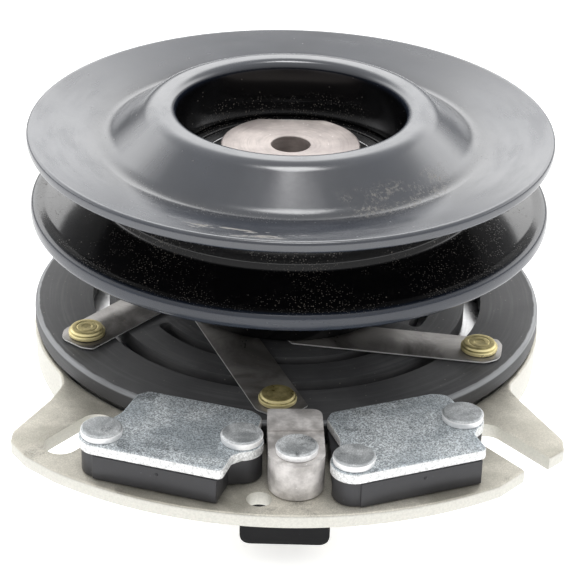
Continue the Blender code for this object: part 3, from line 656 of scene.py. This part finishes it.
def hub():
    node = "hub"
    bottom = low(node)[2]
    top = high(node)[2]
    head_r = high(node)[0]
    head_bottom = high("pulley_bearing_inner_ring")[2] + 0.3
    web = top - 12.0
    bore, bolt_hole, shank = 12.7, 5.8, 17.2
    corners = [(bore, bottom, 0.6), (shank, bottom, 0.5), (shank, head_bottom, 0.3)]
    corners += [(head_r, head_bottom, 0.4), (head_r, top, 0.7), (bolt_hole, top, 0.5)]
    corners += [(bolt_hole, web, 0.3), (bore, web, 0.5)]
    piece = lathe("hub_and_head", rounded(corners, 4), MEDIUM)
    cuts = bmesh.new()
    flat = high(node)[1]
    keyway = [(-3.2, 10.0), (3.2, 10.0), (3.2, 14.9), (-3.2, 14.9)]
    add_slab(cuts, keyway, bottom - 1, web - 1)
    for side in (-1, 1):
        edges = sorted((side * flat, side * (head_r + 2)))
        outline = [(-head_r, edges[0]), (head_r, edges[0]), (head_r, edges[1]), (-head_r, edges[1])]
        add_slab(cuts, outline, head_bottom - 1, top + 1)
    combine(piece, cuts)
    soften(piece, 0.4, 3, 60.0)
    dress(piece, "hub_steel", "rotor", node)


# ---------------------------------------------------------------- mounting plate

CUP_R = high("mounting_plate")[1]


def flange_edge():
    """The flange's outline, from its left root round the front to its right root."""
    corners = [(-66.3, -38.3, 0.0), (-64.4, -47.5, 9.0), (-66.8, -56.0, 9.0), (-75.3, -73.4, 4.0)]
    corners += [(-75.3, -78.2, 4.0), (-70.6, -85.2, 6.0)]
    front_r = 111.2
    front = [polar(front_r, azimuth) for azimuth in range(-124, -57, 2)]
    corners += [(x, y, 3.0) for x, y in front]
    corners += [(66.4, -86.2, 2.5), (74.2, -79.4, 2.2), (78.0, -75.6, 2.2), (78.2, -70.7, 2.2)]
    corners += [(68.2, -50.2, 9.0), (66.0, -44.6, 9.0), (66.3, -38.3, 0.0)]
    return rounded(corners, 4)


def edge_radius(azimuth, outline):
    """How far the flange's outline is from the shaft axis in one direction."""
    heading = radians(azimuth)
    for (x0, y0), (x1, y1) in zip(outline, outline[1:]):
        if degrees(atan2(y0, x0)) <= azimuth <= degrees(atan2(y1, x1)):
            span = cos(heading) * (y1 - y0) - sin(heading) * (x1 - x0)
            return (x0 * y1 - x1 * y0) / span
    return CUP_R


def cup_section(edge, bottom, top):
    """A closed (radius, height) section of the plate where its outline is at radius edge."""
    flange = top - 4.0
    floor = bottom + 2.5
    inner = CUP_R - 1.7
    lip = max(edge, CUP_R + 0.25)
    reach = lip - CUP_R
    outer = 1.5 - min(reach / 8.0, 1.0) * 0.7
    corners = [(SHELL_GAP, bottom, 0.3), (CUP_R, bottom, 5.5), (CUP_R, flange, min(3.0, reach * 0.45))]
    corners += [(lip, flange, 0.7), (lip, top, outer), (inner, top, 1.4), (inner, floor, 3.0)]
    corners += [(SHELL_GAP, floor, 0.3)]
    return rounded(corners, 5)


def mounting_plate():
    node = "mounting_plate"
    bottom = low(node)[2]
    top = high(node)[2]
    outline = flange_edge()
    tips = [degrees(atan2(y, x)) for x, y in outline]
    even = [-180 + step * 1.5 for step in range(240)]
    azimuths = sorted(set(round(a, 2) for a in even + tips))
    bm = bmesh.new()
    rings = []
    for azimuth in azimuths:
        section = cup_section(edge_radius(azimuth, outline), bottom, top)
        heading = radians(azimuth)
        rings.append([bm.verts.new((r * cos(heading), r * sin(heading), z)) for r, z in section])
    for here, after in zip(rings, rings[1:] + rings[:1]):
        for below in range(len(here)):
            above = (below + 1) % len(here)
            bm.faces.new([here[below], after[below], after[above], here[above]])
    piece = to_object("brake_flange_and_cup", bm)
    combine(piece, plate_openings(top))
    dress(piece, "plate_zinc", "field", node)


def plate_openings(top):
    """Cutters for the small hole, the closed slot and the open slot."""
    cuts = bmesh.new()
    below = top - 6.0
    above = top + 2.0
    pilot, pilot_r = (-6.0, -103.6), 3.45
    add_slab(cuts, arc(pilot, pilot_r, 0, 360, 48)[:-1], below, above)
    closed = arc((100.0, 0.0), SLOT_HALF, -90, 180) + arc((86.0, 0.0), SLOT_HALF, 90, 180)
    add_slab(cuts, turn(closed, SLOT_LEFT), below, above)
    past_edge = 116.0
    fork = [(past_edge, -SLOT_HALF), (past_edge, SLOT_HALF)] + arc((89.0, 0.0), SLOT_HALF, 90, 180)
    add_slab(cuts, turn(fork, SLOT_RIGHT), below, above)
    return cuts


# ---------------------------------------------------------------- brake

def lobe(middle, radius, start, sweep):
    """Part of a circle as corners that need no rounding of their own."""
    return [(x, y, 0) for x, y in arc(middle, radius, start, sweep, 20)]


def pole_outline(rivet_a, rivet_b):
    """A pole plate with the brake's middle line along -Y: an ear round each rivet."""
    corners = [(-18.4, -78.2, 2.5), (-16.0, -75.4, 2.5), (14.4, -75.4, 3.0), (18.0, -77.4, 3.0)]
    corners += [(18.7, -83.0, 2.0)] + lobe(rivet_b, 5.9, 50, -120)
    corners += [(16.6, -98.6, 2.0), (16.6, -106.7, 2.0)] + lobe(rivet_a, 6.3, -92, -132)
    corners += [(-20.4, -92.6, 2.5), (-18.8, -88.2, 2.5)]
    return rounded(corners, 5)


def housing_outline(rivet_a, rivet_b):
    """The magnet housing under the pole plate, in the same frame."""
    corners = [(-18.4, -79.0, 0.8), (16.6, -79.0, 0.8), (17.6, -84.8, 0)]
    corners += lobe(rivet_b, 5.6, 70, -148)
    corners += [(15.2, -97.4, 0.8), (15.2, -106.9, 0.4), (-20.0, -106.9, 0.4), (-20.1, -106.3, 0.1)]
    corners += lobe(rivet_a, 5.6, -98, -124)
    return rounded(corners, 4)


def brake_middle():
    """How far the brake's middle line is turned away from -Y."""
    post = centre("brake_post_rivet")
    return degrees(atan2(post[1], post[0])) + 90.0


def brake_side(side, spread):
    angle = brake_middle() + spread
    rivets = [turn([centre(f"brake_rivet_{side}_{label}")], -angle)[0] for label in ("outer", "inner")]
    pole = f"brake_pole_plate_{side}"
    outline = turn(pole_outline(*rivets), angle)
    piece = slab(f"pole_plate_{side}", outline, low(pole)[2], high(pole)[2])
    soften(piece, 0.5, 4)
    dress(piece, "zinc", "field", pole)
    node = f"magnet_housing_{side}"
    top = high(node)[2]
    bm = bmesh.new()
    add_slab(bm, turn(housing_outline(*rivets), angle), low(node)[2], top + 0.25)
    pip = turn([(-1.6, -106.8)], angle)[0]
    spot = Matrix.Translation((*pip, top - 1.6))
    bmesh.ops.create_uvsphere(bm, u_segments=20, v_segments=12, radius=0.5, matrix=spot)
    body = to_object(f"housing_{side}", bm)
    soften(body, 0.3, 3, 50.0)
    dress(body, "magnet_plastic", "field", node)
    for label in ("outer", "inner"):
        zinc_rivet(f"brake_rivet_{side}_{label}")


def zinc_rivet(node):
    top = high(node)[2]
    under = top - ZINC_HEAD
    rim = (high(node)[0] - low(node)[0]) / 2
    shank = 2.6
    foot = low(node)[2]
    corners = [(0.0, foot, 0), (shank, foot, 0.1), (shank, under, 0.1), (rim - 0.15, under - 0.28, 0.3)]
    corners += [(rim, top - 0.5, 0.5), (rim - 0.55, top, 0.5), (2.0, top - 0.05, 1.0), (0.0, top - 0.02, 0)]
    piece = lathe("zinc_" + node, rounded(corners, 4), SMALL, centre(node))
    dress(piece, "zinc", "field", node, look="rivet_zinc")


def post():
    node = "brake_post"
    angle = brake_middle()
    rivet = turn([centre("brake_post_rivet")], -angle)[0]
    radius = 7.6
    top = high(node)[2]
    ledge_bottom = low("brake_pole_plate_left")[2]
    back = -79.2
    body = [(rivet[0] + radius, back), (rivet[0] - radius, back)] + arc(rivet, radius, 180, 180, 48)
    piece = slab("upright_post", turn(body, angle), low(node)[2], top - 0.7)
    left = rivet[0] - (radius - 0.06)
    right = rivet[0] + (radius - 0.06)
    near, far = -87.2, -76.4
    plan = rounded([(left, near, 0.05), (right, near, 0.05), (right, far, 3.4), (left, far, 1.0)], 6)
    ledge = bmesh.new()
    add_slab(ledge, turn(plan, angle), ledge_bottom, top)
    combine(piece, ledge, "UNION")
    soften(piece, 0.45, 3, 50.0)
    dress(piece, "cast_aluminium", "field", node)
    zinc_rivet("brake_post_rivet")


# ---------------------------------------------------------------- connector and the rest

def connector():
    node = "connector_housing"
    (x0, y0, z0), (x1, y1, z1) = low(node), high(node)
    outline = rounded([(x0, z1, 0.3), (x0, z0, 3.2), (x1, z0, 3.2), (x1, z1, 0.3)], 8)
    bm = bmesh.new()
    near = [bm.verts.new((x, y0, z)) for x, z in outline]
    far = [bm.verts.new((x, y1, z)) for x, z in outline]
    bm.faces.new(near)
    bm.faces.new(list(reversed(far)))
    for here in range(len(outline)):
        after = (here + 1) % len(outline)
        bm.faces.new([near[here], far[here], far[after], near[after]])
    piece = to_object("connector_shell", bm)
    socket = bmesh.new()
    left, right = x0 + 2.6, x1 - 2.6
    front, back = y0 + 1.8, y1 - 1.8
    inside = rounded([(left, front, 1.2), (right, front, 1.2), (right, back, 1.2), (left, back, 1.2)], 5)
    add_slab(socket, inside, z0 - 1, z1 - 2.4)
    combine(piece, socket)
    soften(piece, 0.5, 3, 50.0)
    dress(piece, "connector_plastic", "field", node)


def profile_of(node):
    """Reads the (radius, height) profile of a turned CAD node where it crosses its +X side."""
    middle = centre(node)
    bm = bmesh.new()
    bm.from_mesh(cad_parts[node].data)
    bmesh.ops.remove_doubles(bm, verts=bm.verts, dist=2e-6)
    near = 0.02
    there = {v for v in bm.verts if abs(v.co.y / MM - middle[1]) < near and v.co.x / MM > middle[0] - near}
    neighbours = {v: [e.other_vert(v) for e in v.link_edges if e.other_vert(v) in there] for v in there}
    ends = [v for v in there if len(neighbours[v]) == 1]
    first = min(ends or there, key=lambda v: (v.co.z, v.co.x))
    chain = [first]
    while True:
        onward = [v for v in neighbours[chain[-1]] if v not in chain]
        if not onward:
            break
        chain.append(min(onward, key=lambda v: (v.co - chain[-1].co).length))
    profile = [(v.co.x / MM - middle[0], v.co.z / MM) for v in chain]
    bm.free()
    return profile


def refine(node, slot, body, segments=MEDIUM, edge=0.25):
    """Turns a round CAD node again with many more facets and soft edges."""
    on_axis = 0.02
    corners = [(radius, height, 0.0 if radius < on_axis else edge) for radius, height in profile_of(node)]
    piece = lathe("fine_" + node, rounded(corners, 3), segments, centre(node))
    dress(piece, slot, body, node)


def round_pieces():
    refine("field_shell", "hub_steel", "field", FINE, 0.5)
    refine("hub_snap_ring", "bearing_steel", "rotor")
    refine("spacer_sleeve", "hub_steel", "rotor")
    refine("friction_ring", "friction", "rotor", FINE, 0.15)
    for bearing, outer in (("field_bearing", "field"), ("pulley_bearing", "pulley")):
        refine(bearing + "_inner_ring", "bearing_steel", "rotor")
        refine(bearing + "_outer_ring", "bearing_steel", outer)
        refine(bearing + "_lower_seal", "seal_rubber", "rotor")
        refine(bearing + "_upper_seal", "seal_rubber", "rotor")
    for number in range(1, SPRINGS + 1):
        refine(f"pulley_rivet_{number}", "brass", "pulley", SMALL)


def dress_inner_nodes():
    """The nodes that stay as they are get their finishes too."""
    shown = {"coil_bobbin": "nylon", "coil_winding": "copper", "coil_potting": "epoxy",
             "brake_magnet_left": "magnet", "brake_magnet_right": "magnet",
             "connector_blade_left": "brass", "connector_blade_right": "brass",
             "field_bearing_balls_and_cage": "bearing_steel",
             "pulley_bearing_balls_and_cage": "bearing_steel"}
    for node, slot in shown.items():
        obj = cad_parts[node]
        if not obj.material_slots:
            obj.data.materials.append(MATERIALS[slot])
        for entry in obj.material_slots:
            entry.material = MATERIALS[slot]


# ---------------------------------------------------------------- stage

def camera():
    """A long lens 0.6 m from the pulley, looking down on it from the front."""
    data = bpy.data.cameras.new("camera")
    data.lens = 126.5
    data.sensor_width = 36.0
    data.clip_start = 0.01
    obj = bpy.data.objects.new("camera", data)
    bpy.context.scene.collection.objects.link(obj)
    obj.location = (0.0, -0.5494, 0.3273)
    aim = Vector((0.0003, 0.0, 0.0324))
    roll = Quaternion((0, 0, 1), radians(1.45))
    obj.rotation_mode = "QUATERNION"
    obj.rotation_quaternion = (aim - obj.location).to_track_quat("-Z", "Y") @ roll
    bpy.context.scene.camera = obj


def soft_light(name, place, size, energy, aim=(0.0, 0.0, 0.05)):
    data = bpy.data.lights.new(name, "AREA")
    data.shape = "RECTANGLE"
    data.size = size[0]
    data.size_y = size[1]
    data.energy = energy
    obj = bpy.data.objects.new(name, data)
    bpy.context.scene.collection.objects.link(obj)
    obj.location = place
    obj.rotation_euler = (Vector(aim) - Vector(place)).to_track_quat("-Z", "Y").to_euler()


def stage():
    bpy.ops.mesh.primitive_plane_add(size=6.0, location=(0.0, 0.0, 0.0))
    floor = bpy.context.active_object
    floor.name = "floor"
    paper = Finish("paper", Emission_Color=(1.0, 1.0, 1.0, 1.0), Emission_Strength=0.6)
    tone = paper.mix(paper.noise(6.0, 3.0), (0.93, 0.93, 0.93), (0.96, 0.96, 0.96))
    floor.data.materials.append(paper.done(tone, 0.8))
    sky()
    soft_light("ceiling_box", (0.02, -0.03, 0.95), (0.3, 0.3), 1.9)
    bpy.context.scene.view_settings.view_transform = "Standard"


def sky():
    """A pale studio: a bright band behind the object, a dim horizon and an even ceiling."""
    world = bpy.data.worlds.new("studio")
    bpy.context.scene.world = world
    world.use_nodes = True
    tree = world.node_tree
    split = tree.nodes.new("ShaderNodeSeparateXYZ")
    tree.links.new(tree.nodes.new("ShaderNodeTexCoord").outputs["Generated"], split.inputs[0])
    behind = tree.nodes.new("ShaderNodeValToRGB")
    levels = ((0.0, 0.35), (0.15, 0.45), (0.3, 3.3), (0.52, 3.3), (0.66, 1.15), (1.0, 0.95))
    fill_ramp(behind.color_ramp, levels)
    tree.links.new(split.outputs["Z"], behind.inputs[0])
    ahead = tree.nodes.new("ShaderNodeValToRGB")
    fill_ramp(ahead.color_ramp, ((0.0, 0.6), (1.0, 0.95)))
    tree.links.new(split.outputs["Z"], ahead.inputs[0])
    share = tree.nodes.new("ShaderNodeMapRange")
    share.inputs["From Min"].default_value = -0.2
    share.inputs["From Max"].default_value = 0.5
    tree.links.new(split.outputs["Y"], share.inputs["Value"])
    blend = tree.nodes.new("ShaderNodeMix")
    blend.data_type = "RGBA"
    tree.links.new(share.outputs["Result"], blend.inputs["Factor"])
    tree.links.new(ahead.outputs["Color"], blend.inputs["A"])
    tree.links.new(behind.outputs["Color"], blend.inputs["B"])
    tree.links.new(blend.outputs["Result"], tree.nodes["Background"].inputs["Color"])


def fill_ramp(ramp, levels):
    """Sets a ramp's grey levels. New elements go in first, as the ramp sorts itself by place."""
    for place, level in levels[1:-1]:
        ramp.elements.new(place).color = (level, level, level, 1.0)
    for element, (_, level) in ((ramp.elements[0], levels[0]), (ramp.elements[-1], levels[-1])):
        element.color = (level, level, level, 1.0)


camera()
stage()
make_materials()
pulley_upper()
pulley_lower()
leaf_springs()
brass_rivets()
armature()
rotor()
hub()
mounting_plate()
brake_side("left", -POLE_SPREAD)
brake_side("right", POLE_SPREAD)
post()
connector()
round_pieces()
dress_inner_nodes()
